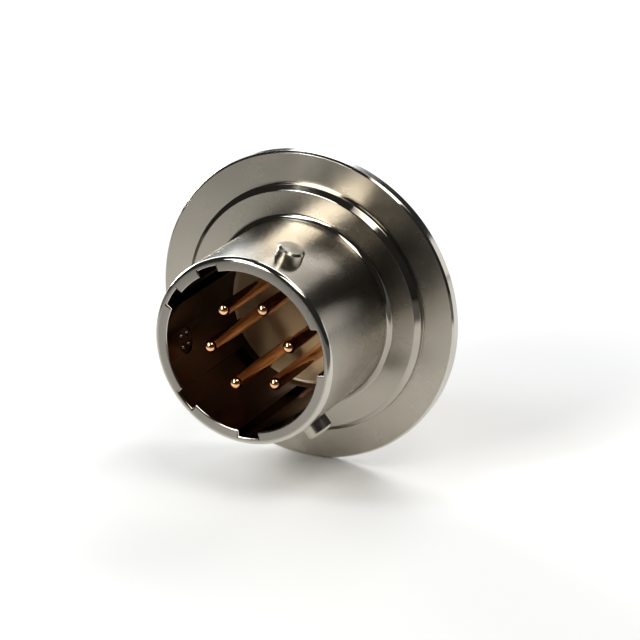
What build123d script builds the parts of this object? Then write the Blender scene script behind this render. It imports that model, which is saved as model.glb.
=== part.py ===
"""Hermetic bayonet receptacle for a panel: six round pins sealed in glass inside a turned shell.

Millimetres. The origin is on the connector's axis, in the plane of the flange's panel seat.
-Y points out of the mating face, +Y to the solder cups, +Z up.
Angles round the axis are measured as seen from the mating face, from +X towards +Z.
"""
from build123d import *
from math import cos, radians, sin
import os

# Shell: barrel and its wall, the bore inside it
barrel_diameter = 14.99
barrel_length = 10.0
barrel_wall = 1.095
rim_break = 0.39
rim_lead = 0.68
bore_chamfer = 0.10
root_flare = 0.42
root_lead = 0.73

# Shell: step that enters the panel's hole, flange behind it, and rear sleeve
pilot_diameter = 20.3
pilot_height = 0.8
pilot_chamfer = 0.38
flange_diameter = 25.4
flange_thickness = 1.0
flange_chamfer = 0.15
sleeve_diameter = 16.0
sleeve_length = 2.0
sleeve_chamfer = 0.20

# Keyways: one wide master and four narrow ones, set by angles from the master, and the wall behind them
clocking = 9.5
master_key_width = 3.5
narrow_key_width = 1.62
narrow_key_angles = (105, 140, 215, 265)
key_wall = 0.595
key_land = 1.0

# Bayonet studs: pins pressed through the barrel's wall
stud_count = 3
stud_first_angle = 60
stud_diameter = 2.1
stud_height = 1.0
stud_setback = 2.75
stud_chamfer = 0.18
stud_inner_recess = 0.03

# Contacts: a round-tipped pin in front, and a thicker body through the glass that ends in a scooped solder cup
contact_count = 6
contact_circle = 6.8
pin_diameter = 1.016
pin_recess = 0.95
body_diameter = 1.6
tail_length = 4.55
cup_bore = 1.1
cup_bore_depth = 3.1
cup_scoop_length = 1.7
cup_scoop_offset = 0.10

# Glass seal, fused to the bore and round the contacts
glass_depth = 10.9
glass_rear_recess = 0.35

# Radii and places that follow from the sizes above
barrel_radius = barrel_diameter / 2
bore_radius = barrel_radius - barrel_wall
key_floor_radius = barrel_radius - key_wall
pilot_radius = pilot_diameter / 2
flange_radius = flange_diameter / 2
sleeve_radius = sleeve_diameter / 2
stud_radius = stud_diameter / 2
pin_radius = pin_diameter / 2
body_radius = body_diameter / 2
contact_circle_radius = contact_circle / 2

seat_y = 0.0
pilot_face_y = seat_y - pilot_height
rim_y = pilot_face_y - barrel_length
flange_back_y = seat_y + flange_thickness
sleeve_end_y = flange_back_y + sleeve_length
glass_face_y = rim_y + glass_depth
glass_back_y = sleeve_end_y - glass_rear_recess
key_length = glass_depth - key_land
stud_y = rim_y + stud_setback
tip_y = rim_y + pin_recess
tail_end_y = glass_back_y + tail_length

stud_step = 360 / stud_count
stud_angles = [clocking + stud_first_angle + stud_step * i for i in range(stud_count)]
contact_step = 360 / contact_count
contact_angles = [clocking + contact_step * i for i in range(contact_count)]


def outward(angle):
    """Unit vector from the axis towards an angle, as seen from the mating face."""
    return Vector(cos(radians(angle)), 0, sin(radians(angle)))


def rings(part, radius, y):
    """The round edges about the connector's axis that have one radius and lie in one plane."""
    circles = part.edges().filter_by(GeomType.CIRCLE)
    return circles.filter_by(lambda e: abs(e.radius - radius) < 1e-4 and abs(e.arc_center.Y - y) < 1e-4)


def stud_plane(angle):
    """The plane through a stud's axis foot, facing outwards along the stud."""
    return Plane(origin=(0, stud_y, 0), x_dir=(0, 1, 0), z_dir=outward(angle))


def half_section(angle):
    """The plane of a contact's half section: local X runs outwards from the contact's axis, local Y rearwards."""
    across = outward(angle)
    return Plane(origin=across * contact_circle_radius, x_dir=across, z_dir=across.cross(Vector(0, 1, 0)))


def save(part, name):
    """Label a finished piece and write its file."""
    part.label = name
    export_step(part, f"parts/{name}.step")


os.makedirs("parts", exist_ok=True)

# Shell, turned in one piece
with BuildPart() as shell:
    with BuildSketch(Plane.XY):
        with BuildLine():
            # The rounded rim and the flared root both run smoothly into the barrel
            wall = Line((barrel_radius, rim_y + rim_lead), (barrel_radius, pilot_face_y - root_lead))
            rim_arc = TangentArc(wall @ 0, (barrel_radius - rim_break, rim_y), tangent=(0, -1))
            root_arc = TangentArc(wall @ 1, (barrel_radius + root_flare, pilot_face_y), tangent=(0, 1))
            Polyline(
                root_arc @ 1,
                (pilot_radius, pilot_face_y),
                (pilot_radius, seat_y),
                (flange_radius, seat_y),
                (flange_radius, flange_back_y),
                (sleeve_radius, flange_back_y),
                (sleeve_radius, sleeve_end_y),
                (bore_radius, sleeve_end_y),
                (bore_radius, rim_y),
                rim_arc @ 1,
            )
        make_face()
    revolve(axis=Axis.Y)

    chamfer(rings(shell, pilot_radius, pilot_face_y), pilot_chamfer)
    chamfer(rings(shell, flange_radius, seat_y), flange_chamfer)
    chamfer(rings(shell, flange_radius, flange_back_y), flange_chamfer)
    chamfer(rings(shell, sleeve_radius, sleeve_end_y), sleeve_chamfer)

    # Keyways broached in the bore from the rim, with floors concentric to the barrel
    with BuildSketch(Plane.XZ.offset(-rim_y)):
        with PolarLocations(bore_radius, 1, start_angle=clocking):
            Rectangle(bore_radius, master_key_width)
        for key_angle in narrow_key_angles:
            with PolarLocations(bore_radius, 1, start_angle=clocking + key_angle):
                Rectangle(bore_radius, narrow_key_width)
        Circle(key_floor_radius, mode=Mode.INTERSECT)
    extrude(amount=-key_length, mode=Mode.SUBTRACT)
    chamfer(shell.faces().sort_by(Axis.Y)[0].inner_wires()[0].edges(), bore_chamfer)

    # Holes for the studs, square through the barrel's wall
    with BuildSketch(*[stud_plane(angle) for angle in stud_angles]):
        Circle(stud_radius)
    extrude(amount=barrel_diameter, mode=Mode.SUBTRACT)
save(shell.part, "shell")

# Bayonet studs
for index, stud_angle in enumerate(stud_angles, start=1):
    foot_plane = stud_plane(stud_angle).offset(bore_radius + stud_inner_recess)
    with BuildPart() as stud:
        with BuildSketch(foot_plane):
            Circle(stud_radius)
        extrude(amount=barrel_radius + stud_height - bore_radius - stud_inner_recess)
        chamfer(stud.faces().sort_by(Axis((0, 0, 0), outward(stud_angle)))[-1].edges(), stud_chamfer)
    save(stud.part, f"bayonet_stud_{index}")

# Glass seal
with BuildPart() as glass_seal:
    with BuildSketch(Plane.XZ.offset(-glass_face_y)):
        Circle(bore_radius)
        with PolarLocations(contact_circle_radius, contact_count, start_angle=clocking):
            Circle(body_radius, mode=Mode.SUBTRACT)
    extrude(amount=glass_face_y - glass_back_y)
save(glass_seal.part, "glass_seal")

# Contacts
for index, contact_angle in enumerate(contact_angles, start=1):
    section = half_section(contact_angle)
    with BuildPart() as contact:
        with BuildSketch(section):
            with BuildLine():
                l1 = Line((0, tail_end_y), (0, tip_y))
                l2 = RadiusArc(l1 @ 1, (pin_radius, tip_y + pin_radius), -pin_radius)
                l3 = Polyline(
                    l2 @ 1,
                    (pin_radius, glass_face_y),
                    (body_radius, glass_face_y),
                    (body_radius, tail_end_y),
                    l1 @ 0,
                )
            make_face()
        revolve(axis=Axis(section.origin, (0, 1, 0)))
        # Cup's bore, drilled from the rear end
        with BuildSketch(Plane(origin=section.origin + Vector(0, tail_end_y, 0), z_dir=(0, 1, 0))):
            Circle(cup_bore / 2)
        extrude(amount=-cup_bore_depth, mode=Mode.SUBTRACT)
        # Scoop that opens the cup's outer half for the wire
        with BuildSketch(section):
            with BuildLine():
                Polyline(
                    (cup_scoop_offset, tail_end_y),
                    (cup_scoop_offset, tail_end_y - cup_scoop_length + body_radius - cup_scoop_offset),
                    (body_radius, tail_end_y - cup_scoop_length),
                    (body_diameter, tail_end_y - cup_scoop_length),
                    (body_diameter, tail_end_y),
                    close=True,
                )
            make_face()
        extrude(amount=body_diameter, both=True, mode=Mode.SUBTRACT)
    save(contact.part, f"contact_{index}")
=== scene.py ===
"""Looks of a hermetic bayonet receptacle: nickel shell, staked studs, fused glass, gold contacts.

Sizes are in millimetres and are scaled to metres as each mesh is made. The connector's axis is Y:
-Y out of the mating face, +Y to the solder cups, +Z up. Angles round it run from +X towards +Z.
"""
from math import asin, ceil, cos, pi, radians, sin, sqrt, tan

import bmesh
import bpy
from mathutils import Matrix, Vector
from mathutils.geometry import delaunay_2d_cdt


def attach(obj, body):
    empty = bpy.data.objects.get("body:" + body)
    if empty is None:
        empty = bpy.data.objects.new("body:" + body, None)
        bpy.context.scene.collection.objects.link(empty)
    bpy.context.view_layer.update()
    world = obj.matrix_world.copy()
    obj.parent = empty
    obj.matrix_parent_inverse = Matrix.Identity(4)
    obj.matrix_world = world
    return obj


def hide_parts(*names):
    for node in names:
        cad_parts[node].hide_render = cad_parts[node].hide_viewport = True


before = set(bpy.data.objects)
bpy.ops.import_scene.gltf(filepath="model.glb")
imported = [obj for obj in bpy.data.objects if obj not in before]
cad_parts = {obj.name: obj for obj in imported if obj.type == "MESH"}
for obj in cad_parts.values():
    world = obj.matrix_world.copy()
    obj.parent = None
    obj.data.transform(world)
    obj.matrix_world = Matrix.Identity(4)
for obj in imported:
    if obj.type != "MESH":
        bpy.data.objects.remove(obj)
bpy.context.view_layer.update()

MM = 0.001

# Shell
barrel_radius = 14.99 / 2
barrel_length = 10.0
bore_radius = 12.8 / 2
rim_round = 0.39
bore_round = 0.14
root_round = 0.48
pilot_radius = 20.3 / 2
pilot_height = 0.8
pilot_chamfer = 0.38
flange_radius = 25.4 / 2
flange_thickness = 1.0
flange_chamfer = 0.15
sleeve_radius = 16.0 / 2
sleeve_length = 2.0
sleeve_chamfer = 0.20
edge_break = 0.04
pilot_break = 0.12

# Keyways: one wide master and four narrow ones, set by angles from the master
clocking = 9.5
master_key_width = 3.5
narrow_key_width = 1.62
narrow_key_angles = (105, 140, 215, 265)
key_depth = 0.5
key_land = 1.0

# Bayonet studs
stud_count = 3
stud_first_angle = 60
stud_radius = 2.1 / 2
stud_height = 1.0
stud_setback = 2.75
stud_chamfer = 0.18
stud_inner_recess = 0.03
stud_gap = 0.01
drill_start = bore_radius * 0.8
stake_count = 4
stake_offset = 0.62
stake_radius = 0.26
stake_depth = 0.22

# Contacts
contact_count = 6
contact_circle_radius = 6.8 / 2
pin_radius = 1.016 / 2
pin_recess = 0.95
body_radius = 1.6 / 2
tail_length = 4.55
cup_bore_radius = 1.1 / 2
cup_bore_depth = 3.1
cup_scoop_length = 1.7
cup_scoop_offset = 0.10

# Glass seal, with the low rise where it wets the metal
glass_depth = 10.9
glass_rear_recess = 0.35
meniscus_reach = 0.55
meniscus_height = 0.14
glass_lip = 0.08

# Places that follow from the sizes above
seat_y = 0.0
pilot_face_y = seat_y - pilot_height
rim_y = pilot_face_y - barrel_length
flange_back_y = seat_y + flange_thickness
sleeve_end_y = flange_back_y + sleeve_length
glass_face_y = rim_y + glass_depth
glass_back_y = sleeve_end_y - glass_rear_recess
key_end_y = glass_face_y - key_land
stud_y = rim_y + stud_setback
tip_y = rim_y + pin_recess
shoulder_y = glass_face_y + glass_lip
tail_end_y = glass_back_y + tail_length

# Fineness of the meshes: steps in degrees, counts of points or rings, lengths in millimetres
column_step = 1.0
corner_step = 8.0
tip_step = 6
lip_steps = 5
stud_steps = 96
stud_face_rings = 40
contact_steps = 64
wall_steps = 240
pin_steps = 48
support = 0.03
glass_pitch = 0.3
glass_gaps = (0.04, 0.1, 0.18, 0.28, 0.4, meniscus_reach)
smooth_limit = 25.0
merge_distance = 1e-4
weld_distance = 1e-6
tolerance = 1e-5

# Where most of a noise pattern's factor lies
noise_span = (0.3, 0.7)

# Margins of the zones of the shell's material
face_margin = 0.02
root_margin = 0.01
step_margin = 0.05
open_margin = 1.0

# Colours, and ranges of roughness
shell_tones = ((0.42, 0.39, 0.34), (0.46, 0.425, 0.37))
shell_roughness = (0.24, 0.28)
# Painted shade: a darker nickel for the rim's flat face
rim_face_shade_tone = (0.31, 0.29, 0.26)
# Painted highlight: a paler nickel for the rim's and the flange's rounded edges
edge_highlight_tone = (0.58, 0.55, 0.50)
edge_polish = 0.6
# Less roughness in the bore, under its painted shade
shaded_bore_polish = 0.4
stud_tones = ((0.44, 0.405, 0.345), (0.49, 0.455, 0.39))
stud_roughness = (0.20, 0.28)
# Painted shade: a near-black brown for the bore's walls and keyways and the studs' inner ends, where
# little light gets in
bore_shade_tone = (0.125, 0.078, 0.06)
gold_tones = ((0.85, 0.50, 0.28), (0.92, 0.57, 0.34))
gold_roughness = (0.08, 0.14)
# Painted light: the glass's front face is paler than its rear, standing in for light that reaches
# into the bore
glass_lit_front_tones = ((0.78, 0.60, 0.37), (0.86, 0.68, 0.44))
glass_rear_tones = ((0.42, 0.32, 0.19), (0.48, 0.37, 0.23))
glass_roughness = (0.12, 0.2)
paper_tones = ((0.94, 0.94, 0.94), (0.96, 0.96, 0.96))
# Painted shade on the floor beyond its pale part
floor_shade_tone = (0.20, 0.20, 0.20)
room_tone = (0.04, 0.04, 0.04)

# Floor: half its side in metres, then two fades into painted shade: an azimuth, the pale's reach and
# the dark's
floor_size = 2.0
near_shade_fade = (26, 33.0, 48.0)
left_shade_fade = (-64, 22.0, 100.0)

# Lights: distance in metres; then name, azimuth, elevation, width, height, watts and colour
light_distance = 0.45
warm = (1.0, 0.98, 0.93)
cool = (0.88, 0.94, 1.0)
white = (1.0, 1.0, 1.0)
softboxes = (
    ("front_softbox", -21, 29, 0.15, 0.18, 0.80, warm),
    ("front_left_softbox", -40, 46, 0.13, 0.16, 0.41, cool),
    ("right_softbox", 68, 60, 0.32, 0.16, 0.64, warm),
    ("back_right_softbox", 168, 48, 0.36, 0.13, 0.47, white),
    ("back_softbox", 212, 23, 0.50, 0.14, 0.78, cool),
    ("left_softbox", 244, 8, 0.15, 0.12, 1.37, warm),
    ("back_panel", 146, 7, 0.45, 0.12, 0.15, white),
)

# Camera: the photograph's viewing angle, then distance and aim past the rim's middle in millimetres
camera_azimuth = 26.3
camera_elevation = 21.0
camera_distance = 200.0
aim_right = 5.94
aim_up = 2.456
lens = 149.7
sensor_width = 36.0


def rounded(corners):
    """A profile line through corners (radius, y, round), each an arc between two support points."""
    line = []
    for index, (x, y, size) in enumerate(corners):
        here = Vector((x, y))
        if size == 0 or index in (0, len(corners) - 1):
            line.append(here)
            continue
        back = (Vector(corners[index - 1][:2]) - here).normalized()
        ahead = (Vector(corners[index + 1][:2]) - here).normalized()
        half_angle = back.angle(ahead) / 2
        turn = pi - 2 * half_angle
        reach = size / tan(half_angle)
        centre = here + (back + ahead).normalized() * size / sin(half_angle)
        start = here + back * reach - centre
        end = here + ahead * reach - centre
        steps = max(2, ceil(turn / radians(corner_step)))
        line.append(here + back * (reach + support))
        for step in range(steps + 1):
            share = step / steps
            along = start * sin((1 - share) * turn) + end * sin(share * turn)
            line.append(centre + along / sin(turn))
        line.append(here + ahead * (reach + support))
    return line


def skin(bm, rings, closed):
    """Quads between neighbouring rings of as many points each, and round to the first if closed."""
    verts = [[bm.verts.new(point) for point in ring] for ring in rings]
    pairs = list(zip(verts, verts[1:]))
    if closed:
        pairs.append((verts[-1], verts[0]))
    count = len(rings[0])
    for near, far in pairs:
        for i in range(count):
            j = (i + 1) % count
            bm.faces.new((near[i], near[j], far[j], far[i]))
    return verts


def circle(radius, y, angles):
    """A ring about the connector's axis, with a point at each angle."""
    return [Vector((radius * cos(a), y, radius * sin(a))) for a in angles]


def even_angles(count):
    """Angles of so many points spread evenly round a circle."""
    return [2 * pi * i / count for i in range(count)]


def finished_mesh(bm, name):
    """A mesh in metres from a bmesh in millimetres, merged, facing outwards, sharp edges marked."""
    bmesh.ops.remove_doubles(bm, verts=bm.verts, dist=merge_distance)
    bmesh.ops.dissolve_degenerate(bm, edges=bm.edges, dist=tolerance)
    bmesh.ops.recalc_face_normals(bm, faces=bm.faces)
    bmesh.ops.scale(bm, vec=(MM, MM, MM), verts=bm.verts)
    for face in bm.faces:
        face.smooth = True
    for edge in bm.edges:
        edge.smooth = len(edge.link_faces) == 2 and edge.calc_face_angle(0) < radians(smooth_limit)
    mesh = bpy.data.meshes.new(name)
    bm.to_mesh(mesh)
    bm.free()
    return mesh


def piece(mesh, name, material, node):
    """Put a finished mesh in the scene in place of its solid."""
    mesh.materials.clear()
    mesh.materials.append(material)
    obj = bpy.data.objects.new(name, mesh)
    bpy.context.scene.collection.objects.link(obj)
    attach(obj, "root")
    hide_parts(node)


def cut(mesh, tool, name):
    """The mesh less the tool's mesh, smooth between its sharp edges again."""
    body = bpy.data.objects.new(name, mesh)
    knife = bpy.data.objects.new(name + "_tool", tool)
    for obj in (body, knife):
        bpy.context.scene.collection.objects.link(obj)
    modifier = body.modifiers.new("cut", "BOOLEAN")
    modifier.operation = "DIFFERENCE"
    modifier.solver = "EXACT"
    modifier.object = knife
    evaluated = body.evaluated_get(bpy.context.evaluated_depsgraph_get())
    bm = bmesh.new()
    bm.from_mesh(bpy.data.meshes.new_from_object(evaluated))
    bpy.data.objects.remove(body)
    bpy.data.objects.remove(knife)
    bmesh.ops.scale(bm, vec=(1 / MM, 1 / MM, 1 / MM), verts=bm.verts)
    return finished_mesh(bm, name)


def turned(mesh, angle):
    """A copy of a mesh made along +X, turned about the connector's axis to an angle in degrees."""
    copy = mesh.copy()
    copy.transform(Matrix.Rotation(-radians(angle), 4, "Y"))
    return copy


# Shell


def key_list():
    """Each keyway's middle angle and width, in order round the bore."""
    keys = [(clocking, master_key_width)]
    keys += [(clocking + angle, narrow_key_width) for angle in narrow_key_angles]
    return [(radians(angle), width) for angle, width in keys]


def bore_section(floor_radius, grow=0.0):
    """Polar points of the bore's section, its keyways out to a floor radius, all opened by grow.

    Every section has as many points, so that sections can be skinned. A floor at the bore's own
    radius leaves a plain circle.
    """
    bore = bore_radius + grow
    floor = floor_radius + grow
    keys = key_list()
    points = []
    for index, (middle, width) in enumerate(keys):
        after, after_width = keys[(index + 1) % len(keys)]
        after += 2 * pi if index == len(keys) - 1 else 0
        half = width / 2 + grow
        floor_half = asin(half / floor)
        steps = ceil(width / bore_radius / radians(column_step))
        for i in range(steps + 1):
            points.append((floor, middle - floor_half + 2 * floor_half * i / steps))
        start = middle + asin(half / bore)
        end = after - asin((after_width / 2 + grow) / bore)
        steps = ceil((after - middle) / radians(column_step))
        for i in range(steps + 1):
            points.append((bore, start + (end - start) * i / steps))
    return points


def polar_ring(section, y):
    """A ring of polar points at one place along the axis."""
    return [Vector((radius * cos(a), y, radius * sin(a))) for radius, a in section]


def shell_mesh():
    """The turned shell: one line carried round the axis outside, and the keyed bore inside."""
    keyed = bore_section(bore_radius + key_depth)
    plain = bore_section(bore_radius)
    angles = [a for radius, a in keyed]
    face_radius = bore_radius + key_depth + bore_round + support
    outside = rounded([
        (face_radius, rim_y, 0),
        (barrel_radius, rim_y, rim_round),
        (barrel_radius, pilot_face_y, root_round),
        (pilot_radius - pilot_chamfer, pilot_face_y, pilot_break),
        (pilot_radius, pilot_face_y + pilot_chamfer, pilot_break),
        (pilot_radius, seat_y, edge_break),
        (flange_radius - flange_chamfer, seat_y, edge_break),
        (flange_radius, seat_y + flange_chamfer, edge_break),
        (flange_radius, flange_back_y - flange_chamfer, edge_break),
        (flange_radius - flange_chamfer, flange_back_y, edge_break),
        (sleeve_radius, flange_back_y, edge_break),
        (sleeve_radius, sleeve_end_y - sleeve_chamfer, edge_break),
        (sleeve_radius - sleeve_chamfer, sleeve_end_y, edge_break),
        (bore_radius, sleeve_end_y, edge_break),
        (bore_radius, glass_back_y, 0),
    ])
    lip = []
    for step in range(lip_steps):
        turn = pi / 2 * step / lip_steps
        grown = bore_section(bore_radius + key_depth, bore_round * (1 - sin(turn)))
        lip.append(polar_ring(grown, rim_y + bore_round * (1 - cos(turn))))
    rings = lip[:1]
    rings += [circle(radius, y, angles) for radius, y in outside]
    rings += [polar_ring(plain, y) for y in (glass_back_y, glass_face_y, key_end_y)]
    rings += [polar_ring(keyed, y) for y in (key_end_y, rim_y + bore_round)]
    rings += lip[:0:-1]
    bm = bmesh.new()
    skin(bm, rings, closed=True)
    return cut(finished_mesh(bm, "shell_blank"), stud_drills(), "turned_shell")


def stud_angles():
    """Angles of the studs round the barrel, in degrees."""
    return [clocking + stud_first_angle + 360 / stud_count * i for i in range(stud_count)]


def stud_drills():
    """Round cutters for the stud holes."""
    bm = bmesh.new()
    for angle in stud_angles():
        drill = bmesh.new()
        rings = []
        radius = stud_radius + stud_gap
        for reach in (drill_start, barrel_radius + stud_height):
            rings.append([
                Vector((reach, stud_y + radius * cos(a), radius * sin(a)))
                for a in even_angles(stud_steps)
            ])
        near, far = skin(drill, rings, closed=False)
        drill.faces.new(near)
        drill.faces.new(far)
        bmesh.ops.rotate(drill, verts=drill.verts, matrix=Matrix.Rotation(-radians(angle), 3, "Y"))
        part = bpy.data.meshes.new("drill")
        drill.to_mesh(part)
        drill.free()
        bm.from_mesh(part)
    return finished_mesh(bm, "stud_drills")


# Bayonet studs


def stake_dent(across, along):
    """Depth of the punch marks at a place on the stud's inner end."""
    depth = 0.0
    for i in range(stake_count):
        angle = 2 * pi * (i + 0.5) / stake_count
        away = Vector((across, along)) - Vector((cos(angle), sin(angle))) * stake_offset
        share = away.length / stake_radius
        if share < 1:
            depth = max(depth, stake_depth * (1 - share * share) ** 1.5)
    return depth


def stud_mesh():
    """A stud along +X: a chamfered pin with punch marks in its inner end."""
    inner = bore_radius + stud_inner_recess
    outer = barrel_radius + stud_height
    line = rounded([
        (0, outer, 0),
        (stud_radius - stud_chamfer, outer, edge_break),
        (stud_radius, outer - stud_chamfer, edge_break),
        (stud_radius, inner, edge_break),
        (stud_radius - 2 * edge_break, inner, 0),
    ])
    # The face's outermost ring lies just inside the line's last corner
    face_steps = range(stud_face_rings - 4, -1, -1)
    line += [Vector((stud_radius * step / stud_face_rings, inner)) for step in face_steps]
    bm = bmesh.new()
    rings = []
    for radius, x in line:
        ring = []
        for a in even_angles(stud_steps):
            across, along = radius * cos(a), radius * sin(a)
            dent = stake_dent(across, along) if abs(x - inner) < tolerance else 0
            ring.append(Vector((x + dent, stud_y + across, along)))
        rings.append(ring)
    skin(bm, rings, closed=False)
    return finished_mesh(bm, "staked_stud")


# Contacts


def contact_mesh():
    """A contact at angle 0: a round-tipped pin in front, a cup behind, scooped open outwards."""
    line = [
        Vector((pin_radius * sin(radians(turn)), tip_y + pin_radius * (1 - cos(radians(turn)))))
        for turn in range(0, 90, tip_step)
    ]
    line += rounded([
        (pin_radius, tip_y + pin_radius, 0),
        (pin_radius, shoulder_y, edge_break),
        (body_radius, shoulder_y, edge_break),
        (body_radius, tail_end_y, edge_break),
        (cup_bore_radius, tail_end_y, edge_break),
        (cup_bore_radius, tail_end_y - cup_bore_depth, edge_break),
        (0, tail_end_y - cup_bore_depth, 0),
    ])
    bm = bmesh.new()
    angles = even_angles(contact_steps)
    skin(bm, [circle(radius, y, angles) for radius, y in line], closed=False)
    bmesh.ops.translate(bm, vec=(contact_circle_radius, 0, 0), verts=bm.verts)
    return cut(finished_mesh(bm, "contact_blank"), scoop_tool(), "gold_contact")


def scoop_tool():
    """The cutter that opens the outer half of a cup's end."""
    far = 2 * body_radius
    slope_y = tail_end_y - cup_scoop_length
    outline = [
        (cup_scoop_offset, tail_end_y + far),
        (cup_scoop_offset, slope_y + body_radius - cup_scoop_offset),
        (body_radius, slope_y),
        (far, slope_y),
        (far, tail_end_y + far),
    ]
    bm = bmesh.new()
    sides = [[Vector((contact_circle_radius + x, y, z)) for x, y in outline] for z in (-far, far)]
    near, back = skin(bm, sides, closed=False)
    bm.faces.new(near)
    bm.faces.new(back)
    return finished_mesh(bm, "scoop_tool")


def contact_angles():
    """Angles of the contacts round their circle, in degrees."""
    return [clocking + 360 / contact_count * i for i in range(contact_count)]


# Glass


def contact_places():
    """Where the contacts cross the glass, as flat points (x, z)."""
    angles = [radians(a) for a in contact_angles()]
    return [Vector((cos(a), sin(a))) * contact_circle_radius for a in angles]


def meniscus(gap):
    """How high the glass stands at a distance from the metal that it wets."""
    share = min(1.0, max(0.0, 1 - gap / meniscus_reach))
    return meniscus_height * share ** 3


def ring_points(centre, radius, count):
    """Flat points (x, z) evenly round a centre."""
    return [centre + Vector((cos(a), sin(a))) * radius for a in even_angles(count)]


def metal_gap(point, hole_radius):
    """How far a flat point lies from the metal: the bore's wall, and contacts of that radius."""
    holes = [(point - place).length - hole_radius for place in contact_places()]
    return min([bore_radius - point.length] + holes)


def glass_face(bm, y, sense, hole_radius):
    """One face of the glass, fine where it rises to wet the wall and the contacts."""
    places = contact_places()
    middle = Vector((0, 0))
    points = ring_points(middle, bore_radius, wall_steps)
    for place in places:
        points += ring_points(place, hole_radius, pin_steps)
    loops = [range(wall_steps)]
    for start in range(wall_steps, len(points), pin_steps):
        loops.append(range(start, start + pin_steps))
    edges = [(loop[i - 1], loop[i]) for loop in loops for i in range(len(loop))]
    for gap in glass_gaps:
        points += ring_points(middle, bore_radius - gap, wall_steps)
        for place in places:
            points += ring_points(place, hole_radius + gap, pin_steps)
    # A triangular grid fills the flat part
    rows = int(bore_radius / glass_pitch) + 1
    for row in range(-rows, rows + 1):
        for column in range(-rows, rows + 1):
            point = Vector((column + 0.5 * (row % 2), row * sqrt(0.75))) * glass_pitch
            if metal_gap(point, hole_radius) > meniscus_reach + glass_pitch / 2:
                points.append(point)
    flat, _, faces, _, _, _ = delaunay_2d_cdt(points, edges, [], 0, weld_distance)
    verts = []
    for point in flat:
        rise = meniscus(metal_gap(point, hole_radius))
        verts.append(bm.verts.new((point.x, y + sense * rise, point.y)))
    for face in faces:
        centre = sum((flat[i] for i in face), Vector((0, 0))) / len(face)
        if metal_gap(centre, hole_radius) > 0:
            bm.faces.new([verts[i] for i in face])
    bmesh.ops.delete(bm, geom=[v for v in verts if not v.link_faces], context="VERTS")


def glass_mesh():
    """The seal: two faces, joined along the wall and round each contact over its shoulder."""
    bm = bmesh.new()
    glass_face(bm, glass_face_y, -1, pin_radius)
    glass_face(bm, glass_back_y, 1, body_radius)
    front_rise = glass_face_y - meniscus_height
    back_rise = glass_back_y + meniscus_height
    angles = even_angles(wall_steps)
    wall = [circle(bore_radius, y, angles) for y in (front_rise, back_rise)]
    skin(bm, wall, closed=False)
    for place in contact_places():
        line = (
            (pin_radius, front_rise),
            (pin_radius, shoulder_y),
            (body_radius, shoulder_y),
            (body_radius, back_rise),
        )
        rings = []
        for radius, y in line:
            rings.append([Vector((p.x, y, p.y)) for p in ring_points(place, radius, pin_steps)])
        skin(bm, rings, closed=False)
    return finished_mesh(bm, "fused_glass")


# Materials


def new_material(name):
    """A new material, its node tree and its main shader."""
    material = bpy.data.materials.new(name)
    material.use_nodes = True
    return material, material.node_tree, material.node_tree.nodes["Principled BSDF"]


def node(tree, kind, **inputs):
    """A new node of a kind, with inputs set by name."""
    made = tree.nodes.new(kind)
    for name, value in inputs.items():
        made.inputs[name.replace("_", " ")].default_value = value
    return made


def math(tree, operation, first, second=None):
    """A math node's result from links or numbers."""
    made = tree.nodes.new("ShaderNodeMath")
    made.operation = operation
    for socket, value in zip(made.inputs, (first, second)):
        if isinstance(value, (int, float)):
            socket.default_value = value
        elif value is not None:
            tree.links.new(value, socket)
    return made.outputs[0]


def noise(tree, vector, scale, detail=2.0):
    """A noise pattern's factor."""
    made = node(tree, "ShaderNodeTexNoise", Scale=scale, Detail=detail)
    tree.links.new(vector, made.inputs["Vector"])
    return made.outputs["Fac"]


def ease(tree, value, source, target):
    """A value carried smoothly from one range onto another."""
    made = node(tree, "ShaderNodeMapRange")
    made.interpolation_type = "SMOOTHSTEP"
    for name, number in zip(("From Min", "From Max", "To Min", "To Max"), (*source, *target)):
        made.inputs[name].default_value = number
    tree.links.new(value, made.inputs["Value"])
    return made.outputs["Result"]


def tint(tree, factor, tones):
    """A colour between two tones, by a noise pattern's factor."""
    ramp = tree.nodes.new("ShaderNodeValToRGB")
    ramp.color_ramp.interpolation = "EASE"
    for stop, position, tone in zip(ramp.color_ramp.elements, noise_span, tones):
        stop.position = position
        stop.color = (*tone, 1)
    tree.links.new(factor, ramp.inputs["Fac"])
    return ramp.outputs["Color"]


def object_place(tree):
    """Coordinates in the connector's own frame, in metres."""
    return tree.nodes.new("ShaderNodeTexCoord").outputs["Object"]


def round_axis(tree, place):
    """Distance from the connector's axis, and place along it, in metres."""
    split = tree.nodes.new("ShaderNodeSeparateXYZ")
    tree.links.new(place, split.inputs[0])
    x, y, z = split.outputs
    squares = [math(tree, "MULTIPLY", side, side) for side in (x, z)]
    return math(tree, "SQRT", math(tree, "ADD", *squares)), y


def turning_marks(tree, radius, y):
    """Coordinates that change along the radius and the axis only, so that patterns become rings."""
    joined = tree.nodes.new("ShaderNodeCombineXYZ")
    tree.links.new(radius, joined.inputs[0])
    tree.links.new(y, joined.inputs[1])
    return joined.outputs[0]


def within(tree, value, low, high):
    """1 where a length lies between two bounds given in millimetres, else 0."""
    made = tree.nodes.new("ShaderNodeMath")
    made.operation = "COMPARE"
    tree.links.new(value, made.inputs[0])
    made.inputs[1].default_value = (low + high) / 2 * MM
    made.inputs[2].default_value = (high - low) / 2 * MM
    return made.outputs[0]


def zone(tree, radius, y, radii, places):
    """1 in a ring-shaped zone of the shell, between radii and places along the axis, else 0."""
    return math(tree, "MULTIPLY", within(tree, radius, *radii), within(tree, y, *places))


def add_bump(tree, shader, height, strength, distance):
    """Bump from a height pattern on the shader's normal."""
    bump = node(tree, "ShaderNodeBump", Strength=strength, Distance=distance)
    tree.links.new(height, bump.inputs["Height"])
    tree.links.new(bump.outputs["Normal"], shader.inputs["Normal"])


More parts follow.
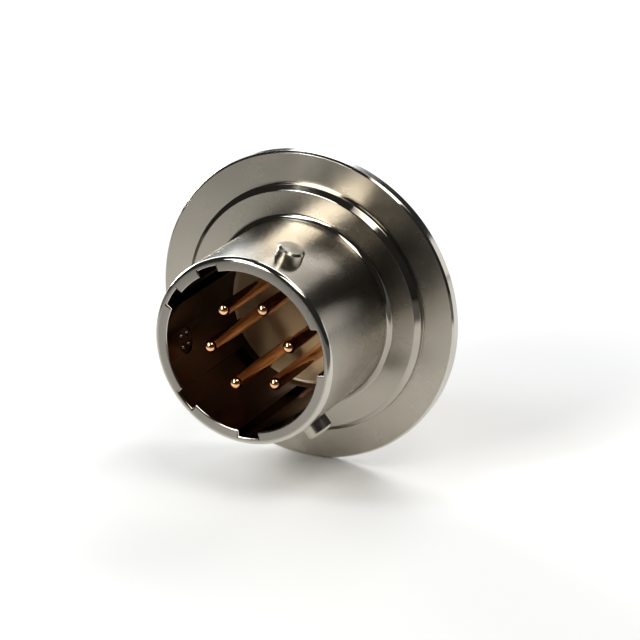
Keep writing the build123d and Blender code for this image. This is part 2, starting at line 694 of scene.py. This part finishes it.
def blend(tree, share, first, second):
    """A mix of two colours, each a link or three numbers."""
    mix = tree.nodes.new("ShaderNodeMix")
    mix.data_type = "RGBA"
    tree.links.new(share, mix.inputs["Factor"])
    for socket, value in ((mix.inputs[6], first), (mix.inputs[7], second)):
        if isinstance(value, tuple):
            socket.default_value = (*value, 1)
        else:
            tree.links.new(value, socket)
    return mix.outputs[2]


def clouded(name, metallic, tones, roughness, scale):
    """A material clouded in colour and gloss, its tree, shader, coordinates and clouds."""
    material, tree, shader = new_material(name)
    place = object_place(tree)
    clouds = noise(tree, place, scale=scale, detail=3)
    shader.inputs["Metallic"].default_value = metallic
    tree.links.new(tint(tree, clouds, tones), shader.inputs["Base Color"])
    tree.links.new(ease(tree, clouds, noise_span, roughness), shader.inputs["Roughness"])
    return material, tree, shader, place, clouds


def shell_nickel():
    """Turned nickel: fine rings that stretch reflections, a painted highlight on the rim's and
    flange's edges, painted shade on the rim's face and in the bore.
    """
    material, tree, shader, place, _ = clouded(
        "shell_nickel", 1.0, shell_tones, shell_roughness, scale=350)
    radius, y = round_axis(tree, place)
    satin = shader.inputs["Roughness"].links[0].from_socket
    plated = shader.inputs["Base Color"].links[0].from_socket

    rim_edge = zone(
        tree, radius, y,
        (bore_radius, barrel_radius + open_margin),
        (rim_y + face_margin, rim_y + rim_round),
    )
    rim_face = zone(
        tree, radius, y,
        (bore_radius, barrel_radius - rim_round),
        (rim_y - face_margin, rim_y + face_margin),
    )
    root = zone(
        tree, radius, y,
        (barrel_radius + root_margin, barrel_radius + root_round),
        (pilot_face_y - open_margin, pilot_face_y),
    )
    step = zone(
        tree, radius, y,
        (pilot_radius - pilot_chamfer - step_margin, pilot_radius + 2 * step_margin),
        (pilot_face_y - open_margin, seat_y),
    )
    flange_edge = zone(
        tree, radius, y,
        (flange_radius - flange_chamfer, flange_radius + open_margin),
        (seat_y - open_margin, flange_back_y + open_margin),
    )
    # The bore and its keyways, which get painted shade
    painted_bore_shade = zone(
        tree, radius, y,
        (0, bore_radius + key_depth + step_margin),
        (rim_y + bore_round, glass_face_y),
    )

    # The rim's and the flange's edges, which carry a painted highlight colour and a smoother gloss
    painted_highlight_edges = math(tree, "MAXIMUM", rim_edge, flange_edge)
    polished = math(tree, "MAXIMUM", painted_highlight_edges, math(tree, "MAXIMUM", root, step))
    polish = math(tree, "MULTIPLY", polished, edge_polish)
    smooth = math(tree, "MAXIMUM", polish, math(tree, "MULTIPLY", painted_bore_shade, shaded_bore_polish))
    rough = math(tree, "MULTIPLY", satin, math(tree, "SUBTRACT", 1.0, smooth))
    tree.links.new(rough, shader.inputs["Roughness"])

    # Painted highlight on those edges
    with_painted_highlight = blend(tree, painted_highlight_edges, plated, edge_highlight_tone)
    # Painted shade on the rim's flat face
    with_painted_rim_shade = blend(tree, rim_face, with_painted_highlight, rim_face_shade_tone)
    # Painted shade in the bore
    tree.links.new(blend(tree, painted_bore_shade, with_painted_rim_shade, bore_shade_tone), shader.inputs["Base Color"])

    shader.inputs["Anisotropic"].default_value = 0.8
    shader.inputs["Anisotropic Rotation"].default_value = 0.25
    tangent = tree.nodes.new("ShaderNodeTangent")
    tangent.direction_type = "RADIAL"
    tangent.axis = "Y"
    tree.links.new(tangent.outputs[0], shader.inputs["Tangent"])
    rings = noise(tree, turning_marks(tree, radius, y), scale=5000, detail=1)
    add_bump(tree, shader, rings, strength=0.05, distance=0.000004)
    return material


def stud_nickel():
    """Plain nickel of the studs, with painted shade on their inner ends, which sit in the bore."""
    material, tree, shader, place, _ = clouded(
        "stud_nickel", 1.0, stud_tones, stud_roughness, scale=350)
    radius, _ = round_axis(tree, place)
    plated = shader.inputs["Base Color"].links[0].from_socket
    inner_end = sqrt((bore_radius + stud_inner_recess) ** 2 + stud_radius ** 2)
    # The stud's inner end, in the bore wall, gets the bore's painted shade
    painted_bore_shade = within(tree, radius, 0, inner_end)
    tree.links.new(blend(tree, painted_bore_shade, plated, bore_shade_tone), shader.inputs["Base Color"])
    grain = noise(tree, place, scale=4000, detail=1)
    add_bump(tree, shader, grain, strength=0.05, distance=0.000004)
    return material


def gold():
    """Polished gold plate."""
    material, tree, shader, place, _ = clouded(
        "contact_gold", 1.0, gold_tones, gold_roughness, scale=900)
    grain = noise(tree, place, scale=9000)
    add_bump(tree, shader, grain, strength=0.1, distance=0.00001)
    return material


def glass():
    """Opaque khaki seal glass, with painted light on its front face: paler there than on its rear.
    """
    material, tree, shader, place, clouds = clouded(
        "seal_glass", 0.0, glass_lit_front_tones, glass_roughness, scale=500)
    painted_lit_front_tone = shader.inputs["Base Color"].links[0].from_socket
    rear_tone = tint(tree, clouds, glass_rear_tones)
    _, y = round_axis(tree, place)
    front = within(tree, y, glass_face_y - open_margin, glass_face_y + open_margin)
    # Painted light on the front face
    tree.links.new(blend(tree, front, rear_tone, painted_lit_front_tone), shader.inputs["Base Color"])
    ripple = noise(tree, place, scale=3000, detail=3)
    add_bump(tree, shader, ripple, strength=0.15, distance=0.00002)
    return material


def dress():
    """Make every piece in place of its solid."""
    piece(shell_mesh(), "turned_shell", shell_nickel(), "shell")
    stud = stud_mesh()
    stud_finish = stud_nickel()
    for i, angle in enumerate(stud_angles(), start=1):
        mesh = turned(stud, angle)
        piece(mesh, f"staked_stud_{i}", stud_finish, f"bayonet_stud_{i}")
    piece(glass_mesh(), "fused_glass", glass(), "glass_seal")
    contact = contact_mesh()
    gold_plate = gold()
    for i, angle in enumerate(contact_angles(), start=1):
        mesh = turned(contact, angle)
        piece(mesh, f"gold_contact_{i}", gold_plate, f"contact_{i}")


# Floor, lights and camera


def paleness(tree, x, y, azimuth, pale_reach, dark_reach):
    """From 1 to 0 between two reaches in millimetres towards an azimuth."""
    across = math(tree, "MULTIPLY", x, sin(radians(azimuth)))
    reach = math(tree, "SUBTRACT", across, math(tree, "MULTIPLY", y, cos(radians(azimuth))))
    return ease(tree, reach, (pale_reach * MM, dark_reach * MM), (1, 0))


def floor():
    """A pale paper sheet with painted shade: dark past its near edge and to its left, where the
    floor lies unlit.
    """
    material, tree, shader = new_material("paper_with_painted_shade")
    place = object_place(tree)
    split = tree.nodes.new("ShaderNodeSeparateXYZ")
    tree.links.new(place, split.inputs[0])
    x, y, _ = split.outputs
    fades = [paleness(tree, x, y, *fade) for fade in (near_shade_fade, left_shade_fade)]
    share = math(tree, "MULTIPLY", *fades)
    pale = tint(tree, noise(tree, place, scale=20), paper_tones)
    # Painted shade: the floor fades to a dark tone past the two reaches
    tree.links.new(blend(tree, share, floor_shade_tone, pale), shader.inputs["Base Color"])
    shader.inputs["Roughness"].default_value = 0.9
    shader.inputs["Specular IOR Level"].default_value = 0.0
    bm = bmesh.new()
    bmesh.ops.create_grid(bm, x_segments=1, y_segments=1, size=floor_size)
    mesh = bpy.data.meshes.new("floor")
    bm.to_mesh(mesh)
    bm.free()
    mesh.transform(Matrix.Translation((0, 0, -flange_radius * MM)))
    mesh.materials.append(material)
    obj = bpy.data.objects.new("floor", mesh)
    bpy.context.scene.collection.objects.link(obj)


def direction(azimuth, elevation):
    """Unit vector away from the object: azimuth 0 is in front of the mating face, 90 at +X."""
    a, e = radians(azimuth), radians(elevation)
    return Vector((sin(a) * cos(e), -cos(a) * cos(e), sin(e)))


def softbox(name, azimuth, elevation, width, height, power, colour):
    """A rectangular area light that faces the connector."""
    data = bpy.data.lights.new(name, "AREA")
    data.shape = "RECTANGLE"
    data.size = width
    data.size_y = height
    data.energy = power
    data.color = colour
    obj = bpy.data.objects.new(name, data)
    away = direction(azimuth, elevation)
    obj.location = away * light_distance
    obj.rotation_euler = away.to_track_quat("Z", "Y").to_euler()
    bpy.context.scene.collection.objects.link(obj)


def lights():
    """Soft light: two lamps in front on the left, one high on the right, four behind, a dim room."""
    for box in softboxes:
        softbox(*box)
    world = bpy.data.worlds.new("room")
    world.use_nodes = True
    world.node_tree.nodes["Background"].inputs["Color"].default_value = (*room_tone, 1)
    bpy.context.scene.world = world


def camera():
    """The photograph's view: its axis passes beside and above the rim's middle."""
    back = direction(camera_azimuth, camera_elevation)
    right = Vector((cos(radians(camera_azimuth)), sin(radians(camera_azimuth)), 0))
    up = back.cross(right)
    aim = Vector((0, rim_y, 0)) + right * aim_right + up * aim_up
    data = bpy.data.cameras.new("camera")
    data.lens = lens
    data.sensor_width = sensor_width
    data.clip_start = 0.01
    obj = bpy.data.objects.new("camera", data)
    obj.location = (aim + back * camera_distance) * MM
    obj.rotation_euler = back.to_track_quat("Z", "Y").to_euler()
    bpy.context.scene.collection.objects.link(obj)
    bpy.context.scene.camera = obj


dress()
floor()
lights()
camera()
bpy.context.scene.view_settings.view_transform = "Standard"
bpy.context.scene.view_settings.look = "Medium High Contrast"
